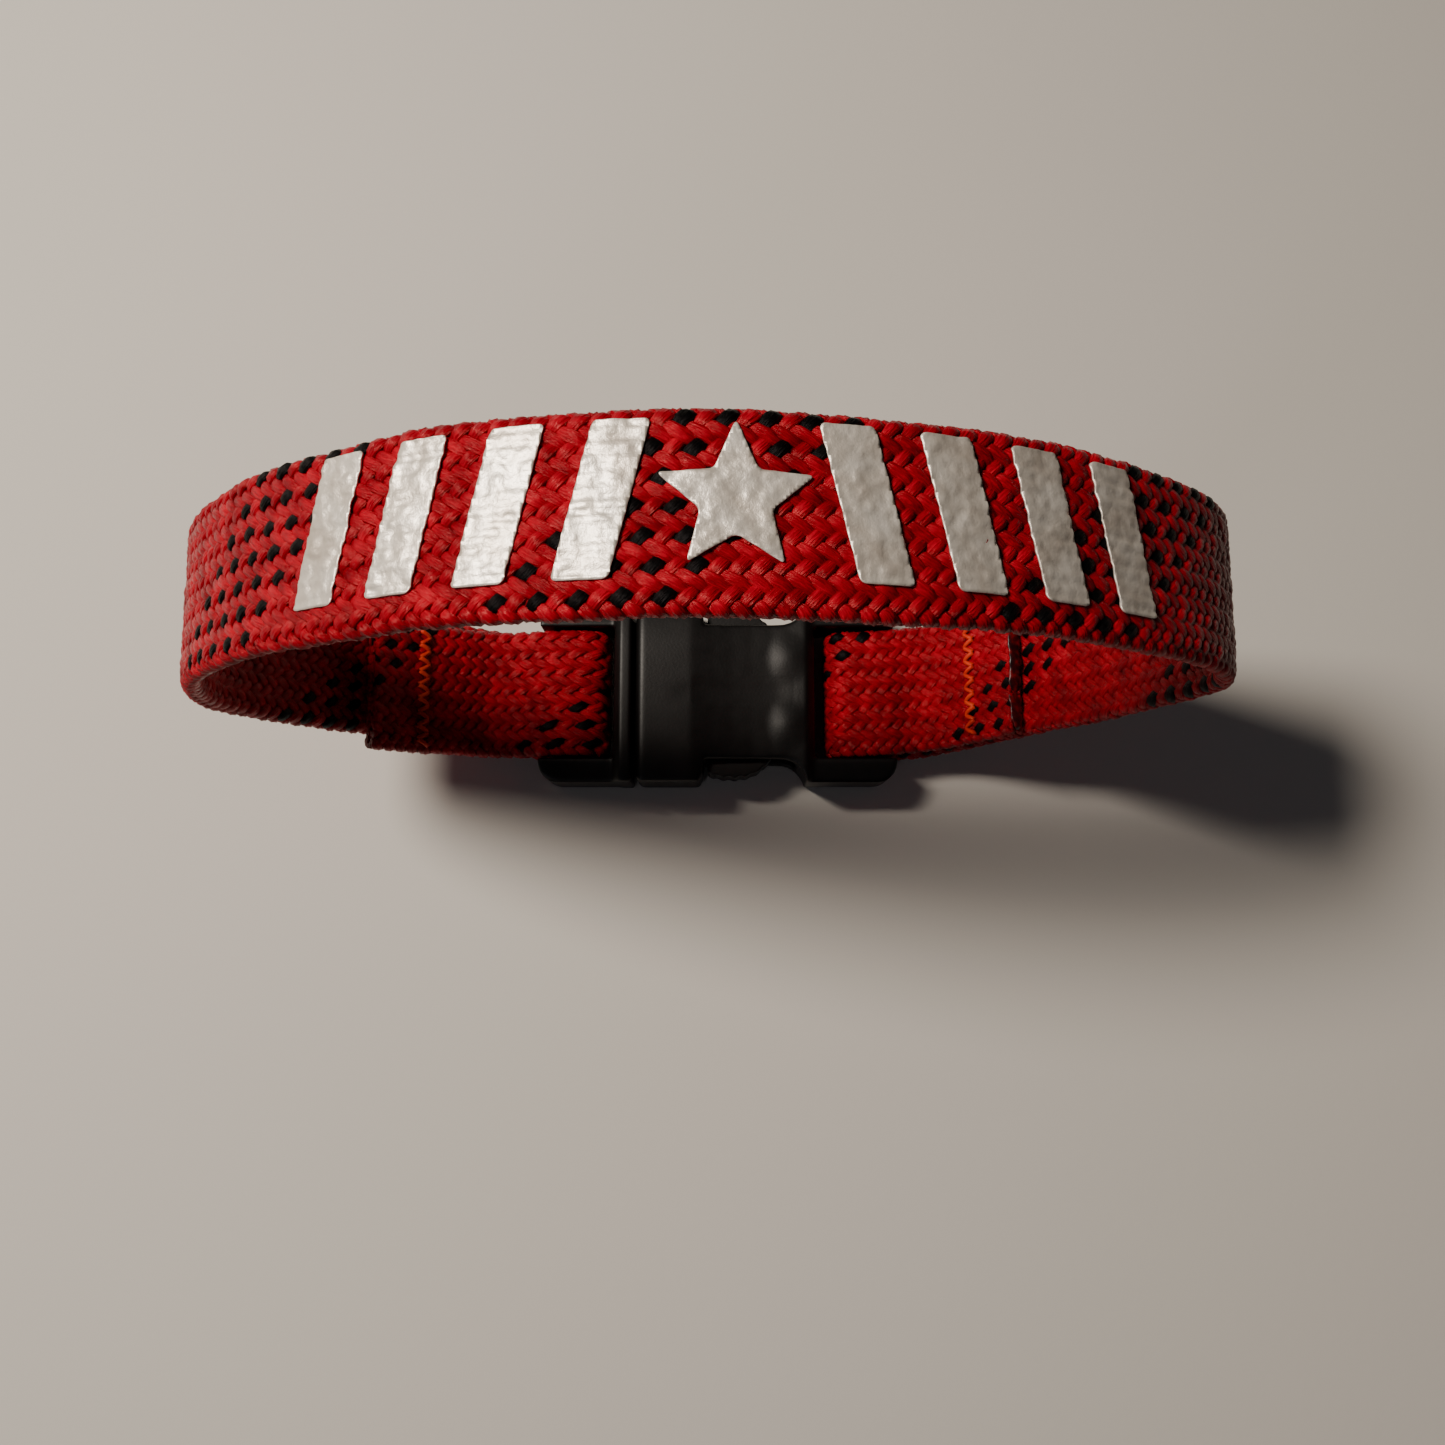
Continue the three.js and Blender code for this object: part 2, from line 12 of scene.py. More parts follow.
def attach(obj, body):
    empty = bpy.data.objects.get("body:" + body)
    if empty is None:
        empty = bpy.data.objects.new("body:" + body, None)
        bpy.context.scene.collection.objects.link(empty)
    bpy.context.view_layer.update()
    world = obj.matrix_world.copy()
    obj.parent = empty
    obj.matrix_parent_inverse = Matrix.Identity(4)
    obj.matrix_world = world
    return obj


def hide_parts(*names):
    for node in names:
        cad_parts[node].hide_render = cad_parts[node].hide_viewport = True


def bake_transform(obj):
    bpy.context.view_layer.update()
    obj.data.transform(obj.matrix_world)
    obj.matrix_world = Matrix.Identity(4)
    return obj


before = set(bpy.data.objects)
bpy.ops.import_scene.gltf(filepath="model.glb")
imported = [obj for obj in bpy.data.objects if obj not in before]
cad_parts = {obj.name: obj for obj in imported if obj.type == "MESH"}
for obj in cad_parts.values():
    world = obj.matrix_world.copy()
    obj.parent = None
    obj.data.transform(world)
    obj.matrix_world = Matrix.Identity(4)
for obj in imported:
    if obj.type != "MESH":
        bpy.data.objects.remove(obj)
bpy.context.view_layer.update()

# ---------------------------------------------------------------- camera, floor and light
# The camera looks steeply down from just in front of the loop. The floor is plain and pale.
# A warm light comes from the upper left and a little behind, and a weak, wider one from the front.

CAMERA_PLACE = (0.0004, -0.0177, 0.1070)
CAMERA_TILT = math.radians(8.5)  # from straight down, towards the back
SENSOR = 36.0
LENS = SENSOR * 1300 / 1445  # 0.9 of the sensor's width

camera_data = bpy.data.cameras.new("camera")
camera_data.sensor_width = SENSOR
camera_data.lens = LENS
camera_data.clip_start = 0.002
camera_data.clip_end = 10
camera = bpy.data.objects.new("camera", camera_data)
camera.location = CAMERA_PLACE
camera.rotation_euler = (CAMERA_TILT, 0, 0)
bpy.context.scene.collection.objects.link(camera)
bpy.context.scene.camera = camera


def linear(code):
    """sRGB hex colour to the linear values, with full alpha, that a shader takes."""
    parts = [int(code[i:i + 2], 16) / 255 for i in (1, 3, 5)]
    return tuple(p / 12.92 if p <= 0.04045 else ((p + 0.055) / 1.055) ** 2.4 for p in parts) + (1.0,)


def new_material(name):
    """A material without any nodes yet."""
    material = bpy.data.materials.new(name)
    material.use_nodes = True
    material.node_tree.nodes.clear()
    return material


def add_node(material, kind, inputs=None, steps=(), **settings):
    """Adds one node. Inputs are values or the sockets they are linked to, settings are the node's
    own values, and steps are a colour ramp's (place, hex colour) pairs."""
    node = material.node_tree.nodes.new(kind)
    for key, value in settings.items():
        setattr(node, key, value)
    for key, value in (inputs or {}).items():
        if isinstance(value, bpy.types.NodeSocket):
            material.node_tree.links.new(value, node.inputs[key])
        else:
            node.inputs[key].default_value = value
    if steps:
        elements = node.color_ramp.elements
        while len(elements) < len(steps):
            elements.new(0.5)
        for element, (place, code) in zip(elements, steps):
            element.position = place
            element.color = linear(code)
    return node


# Matt painted board: even and pale, with only a faint grain.
FLOOR_SIZE = 4.0
floor_material = new_material("matt_painted_board")
coords = add_node(floor_material, "ShaderNodeTexCoord")
grain = add_node(floor_material, "ShaderNodeTexNoise",
                 {"Vector": coords.outputs["Object"], "Scale": 900.0})
bump = add_node(floor_material, "ShaderNodeBump",
                {"Height": grain.outputs["Fac"], "Strength": 0.1, "Distance": 0.0001})
shader = add_node(floor_material, "ShaderNodeBsdfPrincipled",
                  {"Base Color": linear("#CFCAC3"), "Roughness": 0.85, "Normal": bump.outputs[0]})
add_node(floor_material, "ShaderNodeOutputMaterial", {"Surface": shader.outputs[0]})
floor_mesh = bpy.data.meshes.new("floor")
bm = bmesh.new()
bmesh.ops.create_grid(bm, x_segments=2, y_segments=2, size=FLOOR_SIZE / 2)
bm.to_mesh(floor_mesh)
bm.free()
floor = bpy.data.objects.new("floor", floor_mesh)
floor.data.materials.append(floor_material)
bpy.context.scene.collection.objects.link(floor)


def add_light(name, direction, distance, size, power, color):
    """Round area light, placed in a direction from the origin and turned towards it."""
    data = bpy.data.lights.new(name, "AREA")
    data.shape = "DISK"
    data.size = size
    data.energy = power
    data.color = linear(color)[:3]
    light = bpy.data.objects.new(name, data)
    place = Vector(direction).normalized() * distance
    light.location = place
    light.rotation_euler = (-place).to_track_quat("-Z", "Y").to_euler()
    bpy.context.scene.collection.objects.link(light)


add_light("key_light", direction=(-0.50, 0.20, 0.84), distance=0.28, size=0.075,
          power=0.92, color="#FFF4E6")
add_light("front_light", direction=(-0.55, -0.80, 0.75), distance=0.55, size=0.16,
          power=0.12, color="#F3F1FF")

world = bpy.data.worlds.new("room")
world.use_nodes = True
world.node_tree.nodes["Background"].inputs["Color"].default_value = linear("#C9CBD2")
world.node_tree.nodes["Background"].inputs["Strength"].default_value = 0.035
bpy.context.scene.world = world

# ---------------------------------------------------------------- lace
# One flat tubular braid of polyester yarns: 25 rise one way round the tube and 31 fall the other,
# each over two and under two. It folds round a bar at each end and its tails are sewn back down.
# Made in three lengths, so that the part at each end moves with its own half of the buckle.

MM = 0.001
LAYER_PITCH = 1.6  # between the band and a tail that is sewn to it
MIDDLE_Z = 3.0
FOLD_X = 10.9
FOLD_RADIUS = 1.7
BAR_OUTER_X = 13.4
BAND_Z = MIDDLE_Z - FOLD_RADIUS
LOOP_LEFT = (-33.6, 22.0)
LOOP_TOP = (-1.7, 48.2)
LOOP_RIGHT = (30.8, 28.5)
BAR_HANDLE = 9.0  # the handles are how far the curve keeps straight on from each place
LEFT_HANDLES = (7.0, 12.5)  # below and above
TOP_HANDLES = (15.5, 17.0)  # to the left and to the right
RIGHT_HANDLES = (7.5, 6.0)  # above and below
LOOP_SKEW = 1.1  # the loop stands this far back from the buckle
SKEW_EASE = 20.0
PLUG_TAIL = 19.0
SOCKET_TAIL = 16.4
PLUG_TAIL_SKEW = 1.3
TAIL_EASE = 7.0
LINE_STEP = 0.2
FOLD_POINTS = 30
BAND_POINTS = 800


def smoothstep(t):
    """Soft step: 0 up to t = 0, and 1 from t = 1."""
    t = np.clip(t, 0, 1)
    return t * t * (3 - 2 * t)


def straight(a, b, count=20):
    """Points on a straight line from a to b."""
    u = np.linspace(0, 1, count)[:, None]
    return np.array(a) * (1 - u) + np.array(b) * u


def bezier(a, b, c, d, count=500):
    """Points on a cubic curve from a to d, with the handles b and c."""
    u = np.linspace(0, 1, count)[:, None]
    a, b, c, d = (np.array(p) for p in (a, b, c, d))
    return (1 - u) ** 3 * a + 3 * (1 - u) ** 2 * u * b + 3 * (1 - u) * u * u * c + u ** 3 * d


# Middle line of the band (x, z), from the plug's bar over the top to the socket's bar.
band_line = np.vstack([
    straight((-FOLD_X, BAND_Z), (-BAR_OUTER_X, BAND_Z)),
    bezier((-BAR_OUTER_X, BAND_Z), (-BAR_OUTER_X - BAR_HANDLE, BAND_Z),
           (LOOP_LEFT[0], LOOP_LEFT[1] - LEFT_HANDLES[0]), LOOP_LEFT)[1:],
    bezier(LOOP_LEFT, (LOOP_LEFT[0], LOOP_LEFT[1] + LEFT_HANDLES[1]),
           (LOOP_TOP[0] - TOP_HANDLES[0], LOOP_TOP[1]), LOOP_TOP)[1:],
    bezier(LOOP_TOP, (LOOP_TOP[0] + TOP_HANDLES[1], LOOP_TOP[1]),
           (LOOP_RIGHT[0], LOOP_RIGHT[1] + RIGHT_HANDLES[0]), LOOP_RIGHT)[1:],
    bezier(LOOP_RIGHT, (LOOP_RIGHT[0], LOOP_RIGHT[1] - RIGHT_HANDLES[1]),
           (BAR_OUTER_X + BAR_HANDLE, BAND_Z), (BAR_OUTER_X, BAND_Z))[1:],
    straight((BAR_OUTER_X, BAND_Z), (FOLD_X, BAND_Z))[1:],
])
band_run = np.r_[0, np.cumsum(np.hypot(*np.diff(band_line, axis=0).T))]
BAND_LENGTH = band_run[-1]


def on_band(distance, across, inward):
    """Point at a distance along the band, shifted across it and towards the wrist."""
    reach = 0.2
    x = np.interp(distance, band_run, band_line[:, 0])
    z = np.interp(distance, band_run, band_line[:, 1])
    ahead = np.minimum(distance + reach, BAND_LENGTH)
    behind = np.maximum(distance - reach, 0)
    tx = np.interp(ahead, band_run, band_line[:, 0]) - np.interp(behind, band_run, band_line[:, 0])
    tz = np.interp(ahead, band_run, band_line[:, 1]) - np.interp(behind, band_run, band_line[:, 1])
    length = np.hypot(tx, tz)
    sideways = LOOP_SKEW * smoothstep(np.minimum(distance, BAND_LENGTH - distance) / SKEW_EASE)
    return np.stack([x + tz / length * inward, sideways + across, z - tx / length * inward], -1)


def tail_height(distance):
    """How far a tail lies above the band, at a distance from its fold's end."""
    blend = smoothstep((distance - (BAR_OUTER_X - FOLD_X)) / TAIL_EASE)
    return 2 * FOLD_RADIUS * (1 - blend) + LAYER_PITCH * blend


FOLD_LENGTH = math.pi * FOLD_RADIUS
plug_tail = np.arange(PLUG_TAIL, 0, -LINE_STEP)
socket_tail = np.arange(LINE_STEP, SOCKET_TAIL + LINE_STEP / 2, LINE_STEP)
turn = np.linspace(0, math.pi, FOLD_POINTS)
band_steps = np.linspace(0, BAND_LENGTH, BAND_POINTS)[1:-1]
lace_line = np.vstack([
    on_band(plug_tail, -PLUG_TAIL_SKEW * smoothstep(plug_tail / PLUG_TAIL), tail_height(plug_tail)),
    np.stack([-FOLD_X + FOLD_RADIUS * np.sin(turn), 0 * turn, MIDDLE_Z + FOLD_RADIUS * np.cos(turn)], -1),
    on_band(band_steps, 0, 0),
    np.stack([FOLD_X - FOLD_RADIUS * np.sin(turn), 0 * turn, MIDDLE_Z - FOLD_RADIUS * np.cos(turn)], -1),
    on_band(BAND_LENGTH - socket_tail, 0, tail_height(socket_tail)),
])
lace_run = np.r_[0, np.cumsum(np.hypot(np.diff(lace_line[:, 0]), np.diff(lace_line[:, 2])))]
LACE_LENGTH = lace_run[-1]
BAND_START = PLUG_TAIL + FOLD_LENGTH


def lace_place(along, across, outward):
    """Point on the lace: along it, across it and out from its middle, in millimetres."""
    reach = 0.3
    point = [np.interp(along, lace_run, lace_line[:, i]) for i in range(3)]
    ahead = [np.interp(np.minimum(along + reach, LACE_LENGTH), lace_run, lace_line[:, i]) for i in (0, 2)]
    behind = [np.interp(np.maximum(along - reach, 0), lace_run, lace_line[:, i]) for i in (0, 2)]
    tx = ahead[0] - behind[0]
    tz = ahead[1] - behind[1]
    length = np.hypot(tx, tz)
    return np.stack([point[0] - tz / length * outward, point[1] + across,
                     point[2] + tx / length * outward], -1)


# Flattened tube on which the yarns lie, and the pattern they make on it.
TUBE_FLAT = 4.5  # half width of the flat faces
TUBE_RADIUS = 0.33  # of the two rounded edges
TUBE_ROUND = math.pi * TUBE_RADIUS
TUBE_GIRTH = 4 * TUBE_FLAT + 2 * TUBE_ROUND
YARNS = 28  # mean of the two directions: SKEW_PER_TURN fewer rise and SKEW_PER_TURN more fall
YARN_PITCH = 1.0  # along the lace
YARN_HALF_WIDTH = 0.33
YARN_HALF_HEIGHT = 0.18
YARN_LIFT = 0.14  # rise and fall as a yarn passes over and under
PATTERN_START = 0.66
FACE_SKEW = 0.37  # the outer face is dragged this far along per millimetre across
SKEW_PER_TURN = 3
CROSSING_START = {1: 0.5, -1: 2.5}  # place in the over-two-under-two round, for each direction
CROSSING_SQUARENESS = 1.7
TAIL_DRAG = 4.5  # sewing has dragged the plug's tail this far through the pattern
TAIL_DRAG_START = 12.0
TAIL_DRAG_RUN = 22.0
NOISE_FADE = 6  # steps at both ends of a length over which its yarns' unevenness fades
EDGE_KNOTS = 60
EDGE_KNOT_SPACING = 4.0
EDGE_SWAY = 0.07
EDGE_WIDENING = 0.012
wobble = np.random.default_rng(11)


def around_tube(c):
    """Place (across, outward) and outward direction at a distance round the flattened tube."""
    c = np.mod(c + TUBE_FLAT, TUBE_GIRTH)
    edge = 2 * TUBE_FLAT
    back = edge + TUBE_ROUND
    last = back + edge
    on_edge = (c >= edge) & (c < back)
    on_back = (c >= back) & (c < last)
    on_last = c >= last
    angle = np.where(on_edge, (c - edge) / TUBE_RADIUS, 0.0)
    angle = np.where(on_back, math.pi, angle)
    angle = np.where(on_last, math.pi + (c - last) / TUBE_RADIUS, angle)
    across = np.where(on_back, TUBE_FLAT - (c - back), c - TUBE_FLAT)
    across = np.where(on_edge, TUBE_FLAT, across)
    across = np.where(on_last, -TUBE_FLAT, across)
    side, out = np.sin(angle), np.cos(angle)
    return across + TUBE_RADIUS * side, TUBE_RADIUS * out, side, out


def skew(c):
    """How far the braid is dragged along the lace at a distance round the tube."""
    turns = np.floor((c + TUBE_FLAT) / TUBE_GIRTH)
    local = c - turns * TUBE_GIRTH
    swing = FACE_SKEW * TUBE_FLAT
    places = [-TUBE_FLAT, TUBE_FLAT, TUBE_GIRTH - TUBE_FLAT]
    return np.interp(local, places, [swing, -swing, swing - SKEW_PER_TURN]) - turns * SKEW_PER_TURN


def pattern_rows(t):
    """Rows of the braid from the pattern's start to a distance along the lace."""
    drag = TAIL_DRAG * (1 - smoothstep((t - TAIL_DRAG_START) / TAIL_DRAG_RUN))
    return (t + drag - PATTERN_START) / YARN_PITCH


def yarn_height(direction, c):
    """Height of a yarn, from -1 under to 1 over: rising yarns lie on top where falling ones dive."""
    crossings = 2 * YARNS * c / TUBE_GIRTH - CROSSING_START[direction]
    swing = np.cos(crossings * math.pi / 2)
    return np.tanh(CROSSING_SQUARENESS * swing) / math.tanh(CROSSING_SQUARENESS)


def smooth_noise(count, spacing, amount):
    """Seeded random line: a new value every few steps, fading to zero at both ends."""
    knots = wobble.normal(0, amount, max(4, int(count / spacing) + 3))
    steps = np.arange(count)
    fade = np.minimum(np.minimum(steps, steps[::-1]) / NOISE_FADE, 1)
    return np.interp(steps / spacing, np.arange(len(knots)), knots) * fade


edge_knots = wobble.normal(0, EDGE_SWAY, EDGE_KNOTS)


def finish_piece(name, mesh, material, body, replaced=()):
    """Object at the origin from a mesh in metres, riding on one body, or left unattached where body is not
    a body's name.
    """
    mesh.materials.clear()
    mesh.materials.append(material)
    mesh.polygons.foreach_set("use_smooth", [True] * len(mesh.polygons))
    piece = bpy.data.objects.new(name, mesh)
    bpy.context.scene.collection.objects.link(piece)
    if isinstance(body, str):
        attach(piece, body)
    else:
        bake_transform(piece)
    if replaced:
        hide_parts(*replaced)


WELD_DISTANCE = 2e-7  # metres


def tube_mesh(name, count, steps, sides, place):
    """Closed tubes. place(tube, u round it, v along it) gives the points in metres and the length
    of the fibre map, whose width is 1."""
    bm = bmesh.new()
    bm.loops.layers.uv.new("fibre")
    for k in range(count):
        bmesh.ops.create_grid(bm, x_segments=steps, y_segments=sides, size=0.5,
                              matrix=Matrix.Translation((0, 0, k)), calc_uvs=True)
    mesh = bpy.data.meshes.new(name)
    bm.to_mesh(mesh)
    bm.free()
    flat = np.empty(len(mesh.vertices) * 3)
    mesh.vertices.foreach_get("co", flat)
    flat = flat.reshape(-1, 3)
    points, length = place(np.rint(flat[:, 2]).astype(int), flat[:, 1] + 0.5, flat[:, 0] + 0.5)
    mesh.vertices.foreach_set("co", points.ravel())
    layer = mesh.uv_layers["fibre"]
    uv = np.empty(len(layer.data) * 2)
    layer.data.foreach_get("uv", uv)
    uv = uv.reshape(-1, 2)[:, ::-1].copy()
    uv[:, 1] *= length
    layer.data.foreach_set("uv", uv.ravel())
    bm = bmesh.new()
    bm.from_mesh(mesh)
    bmesh.ops.remove_doubles(bm, verts=bm.verts, dist=WELD_DISTANCE)
    bmesh.ops.holes_fill(bm, edges=[e for e in bm.edges if e.is_boundary], sides=sides)
    bmesh.ops.recalc_face_normals(bm, faces=bm.faces)
    bm.to_mesh(mesh)
    bm.free()
    return mesh


YARN_STEP = 0.22
YARN_SIDES = 8
YARN_MAP_STRETCH = 1.3
# The skew moves a yarn's points further along the lace the further they are from its start, so a
# yarn is worked out over more than its own length.
SEARCH_FACTORS = (0.8, 1.3)
SEARCH_MARGIN = 20
SEARCH_STEP = 0.05
# Unevenness of the yarns: steps between values, and amount.
HEIGHT_NOISE = (5, 0.028)
PATH_NOISE = (6, 0.03)
WIDTH_NOISE = (5, 0.09)
THICKNESS_NOISE = (5, 0.05)
WIDTH_SWELL = 0.10  # a yarn is wider and thicker where it lies on top
THICKNESS_SWELL = 0.08


def braid_mesh(name, direction, indices, start, end):
    """Yarns that run one way round the tube, between two distances along the lace."""
    steps = int((end - start) / YARN_STEP)
    along = np.linspace(start, end, steps + 1)
    fine = np.arange(SEARCH_FACTORS[0] * start - SEARCH_MARGIN,
                     SEARCH_FACTORS[1] * end + SEARCH_MARGIN, SEARCH_STEP)
    rows = []
    for index in indices:
        m = pattern_rows(fine)
        c = TUBE_GIRTH / YARNS * (index + direction * m)
        run = fine + skew(c)
        order = np.argsort(run)
        m = np.interp(along, run[order], m[order])
        c = TUBE_GIRTH / YARNS * (index + direction * m)
        lift = yarn_height(direction, c)
        height = YARN_LIFT * lift + smooth_noise(steps + 1, *HEIGHT_NOISE)
        c = c + smooth_noise(steps + 1, *PATH_NOISE)
        dc = np.gradient(c, along)
        width = YARN_HALF_WIDTH * (1 + WIDTH_SWELL * lift + smooth_noise(steps + 1, *WIDTH_NOISE))
        thick = YARN_HALF_HEIGHT * (
            1 + THICKNESS_SWELL * lift + smooth_noise(steps + 1, *THICKNESS_NOISE))
        rows.append((c, height, dc, width, thick))
    c, height, dc, width, thick = (np.array(r) for r in zip(*rows))

    def place(k, u, v):
        i = np.rint(v * steps).astype(int)
        angle = 2 * math.pi * u
        slope = dc[k, i]
        norm = np.sqrt(1 + slope ** 2)
        sideways = width[k, i] * np.cos(angle)
        t = along[i] - sideways * slope / norm
        t = np.where((i == 0) | (i == steps), along[i], t)
        across, out, side_dir, out_dir = around_tube(c[k, i] + sideways / norm)
        rise = height[k, i] + thick[k, i] * np.sin(angle)
        sway = np.interp(t / EDGE_KNOT_SPACING, np.arange(EDGE_KNOTS), edge_knots)
        points = lace_place(t, (across + side_dir * rise) * (1 + EDGE_WIDENING * sway) + sway,
                            out + out_dir * rise)
        return points * MM, (end - start) * YARN_MAP_STRETCH

    return tube_mesh(name, len(indices), steps, YARN_SIDES, place)


# Dyed polyester multifilament, heat-set: plump, slightly shiny yarns with fine filaments along
# them. Real filaments are about 0.02 mm, and are drawn 0.07 mm wide so that they show.
def yarn_material(name, colors, roughness, glint, bump_depth):
    material = new_material(name)
    coords = add_node(material, "ShaderNodeTexCoord")
    stretch = add_node(material, "ShaderNodeMapping",
                       {"Vector": coords.outputs["UV"], "Scale": (22.0, 1.1, 1.0)})
    fibres = add_node(material, "ShaderNodeTexNoise",
                      {"Vector": stretch.outputs[0], "Scale": 1.0, "Detail": 3.0, "Roughness": 0.6})
    patches = add_node(material, "ShaderNodeTexNoise",
                       {"Vector": coords.outputs["Object"], "Scale": 700.0, "Detail": 2.0})
    mixed = add_node(material, "ShaderNodeMath", {0: fibres.outputs["Fac"], 1: patches.outputs["Fac"]},
                     operation="ADD")
    half = add_node(material, "ShaderNodeMath", {0: mixed.outputs[0], 1: 0.5}, operation="MULTIPLY")
    ramp = add_node(material, "ShaderNodeValToRGB", {"Fac": half.outputs[0]}, steps=colors)
    bump = add_node(material, "ShaderNodeBump",
                    {"Height": fibres.outputs["Fac"], "Strength": 0.8, "Distance": bump_depth})
    shader = add_node(material, "ShaderNodeBsdfPrincipled", {
        "Base Color": ramp.outputs["Color"], "Roughness": roughness, "IOR": 1.57,
        "Specular IOR Level": 0.32, "Specular Tint": linear(glint), "Normal": bump.outputs[0]})
    add_node(material, "ShaderNodeOutputMaterial", {"Surface": shader.outputs[0]})
    return material


red_polyester = yarn_material(
    "red_polyester_yarn", [(0.34, "#680011"), (0.5, "#96001A"), (0.66, "#C20626")],
    roughness=0.31, glint="#FF9C90", bump_depth=0.00018)
black_polyester = yarn_material(
    "black_polyester_yarn", [(0.36, "#010101"), (0.5, "#030303"), (0.66, "#080808")],
    roughness=0.46, glint="#8C8488", bump_depth=0.00018)

TRACERS = [-4, -2, 0, 2, 4]
RISING = range(TRACERS[0], TRACERS[0] + YARNS - SKEW_PER_TURN)
FALLING = range(YARNS + SKEW_PER_TURN)
LEFT_CUT = BAND_START + band_run[np.argmin(band_line[:, 0])]
RIGHT_CUT = BAND_START + band_run[np.argmax(band_line[:, 0])]
arch = {
    "bodies": ("band", "plug"),
    "start": (LOOP_RIGHT[0] * MM, 0, 0),
    "end": (LOOP_LEFT[0] * MM, 0, 0),
}
lengths = {
    "lace_plug_end": (0.0, LEFT_CUT, "plug"),
    "lace_arch": (LEFT_CUT, RIGHT_CUT, arch),
    "lace_socket_end": (RIGHT_CUT, LACE_LENGTH, "band"),
}
plain = [i for i in RISING if i not in TRACERS]
for name, (start, end, body) in lengths.items():
    rising = braid_mesh(name + "_rising_yarns", 1, plain, start, end)
    finish_piece(name + "_rising_yarns", rising, red_polyester, body, ["lace"])
    falling = braid_mesh(name + "_falling_yarns", -1, FALLING, start, end)
    finish_piece(name + "_falling_yarns", falling, red_polyester, body, ["lace"])
    tracer = braid_mesh(name + "_tracer_yarns", 1, TRACERS, start, end)
    finish_piece(name + "_tracer_yarns", tracer, black_polyester, body, ["lace"])

# ---------------------------------------------------------------- stitches
# Each tail is sewn down with a dense zigzag bar of bonded polyester thread. The needle thread
# shows on the wrist side and the bobbin thread on the outside of the band.

THREAD_RADIUS = 0.19
THREAD_SIDES = 8
THREAD_END = 0.4  # of its radius, where a thread is cut off
THREAD_MAP_LENGTH = 30
STITCH_TURNS = 17
STITCH_STEPS = 10  # in each turn
STITCH_THROW = 0.5
STITCH_HALF_ROW = 4.5
STITCH_SINK = 0.50  # height over the lace's middle where the thread dives into it
STITCH_RISE = 0.26
PLUG_STITCH = 14.8  # from the fold to the stitches
SOCKET_STITCH = 12.3
thread_material = yarn_material(
    "orange_bonded_polyester_thread", [(0.36, "#A91A0C"), (0.5, "#CC2F16"), (0.64, "#DC4724")],
    roughness=0.38, glint="#FFB9A0", bump_depth=0.00004)


def stitch_mesh(name, centre):
    """Zigzag thread across the lace's outer face, which is a tail's wrist side."""

    def place(k, u, v):
        phase = v * STITCH_TURNS
        hole = np.abs(np.sin(math.pi * phase))
        zigzag = 2 * np.abs(np.mod(phase, 2) - 1) - 1
        t = centre + STITCH_THROW * zigzag
        across = STITCH_HALF_ROW * (2 * v - 1)
        out = STITCH_SINK + STITCH_RISE * hole ** 0.5
        angle = 2 * math.pi * u
        radius = THREAD_RADIUS * np.where((v < 0.001) | (v > 0.999), THREAD_END, 1.0)
        points = lace_place(t, across + radius * np.cos(angle), out + radius * np.sin(angle))
        return points * MM, THREAD_MAP_LENGTH

    return tube_mesh(name, 1, STITCH_TURNS * STITCH_STEPS, THREAD_SIDES, place)


stitches = {
    "plug_needle_stitches": (PLUG_TAIL - PLUG_STITCH, "plug", "plug_needle_thread"),
    "plug_bobbin_stitches": (BAND_START + PLUG_STITCH, "plug", "plug_bobbin_thread"),
    "socket_needle_stitches": (
        LACE_LENGTH - SOCKET_TAIL + SOCKET_STITCH, "band", "socket_needle_thread"),
    "socket_bobbin_stitches": (
        BAND_START + BAND_LENGTH - SOCKET_STITCH, "band", "socket_bobbin_thread"),
}
for name, (centre, body, node_name) in stitches.items():
    finish_piece(name, stitch_mesh(name, centre), thread_material, body, [node_name])

# ---------------------------------------------------------------- melted end of the socket's tail
# The cut end of the lace is singed so that it doesn't fray: a thin dark ridge of melted yarn.

MELT_HALF_WIDTH = 4.85
MELT_HALF_LENGTH = 0.16
MELT_HALF_HEIGHT = 0.58
MELT_SQUARENESS = 8  # the ridge keeps its size up to close to its two ends
MELT_MAP_LENGTH = 10
MELT_STEPS = 40
MELT_SIDES = 12


def past_end(t):
    """Shift that carries points past the lace's end on along its last direction, in metres."""
    last = lace_line[-1] - lace_line[-3]
    last = last / np.linalg.norm(last)
    return np.clip(t - LACE_LENGTH, 0, None)[:, None] * last * MM


def melted_place(k, u, v):
    """Flat ridge across the lace's end. Sines of unrelated lengths make it lumpy and wavy."""
    angle = 2 * math.pi * u
    across = MELT_HALF_WIDTH * (2 * v - 1)
    taper = np.sqrt(np.clip(1 - (2 * v - 1) ** MELT_SQUARENESS, 0.05, 1))
    lump = 1 + 0.35 * np.sin(across * 2.3) * np.sin(across * 3.7 + 1) + 0.2 * np.sin(across * 7.9 + 2)
    swell = 1 + 0.10 * np.sin(across * 4.3) + 0.06 * np.sin(across * 9.1)
    t = (LACE_LENGTH + MELT_HALF_LENGTH * taper * lump * np.cos(angle)
         + 0.09 * np.sin(across * 1.3 + 1) + 0.05 * np.sin(across * 3.9))
    out = MELT_HALF_HEIGHT * taper * swell * np.sin(angle)
    return lace_place(np.minimum(t, LACE_LENGTH), across, out) * MM + past_end(t), MELT_MAP_LENGTH


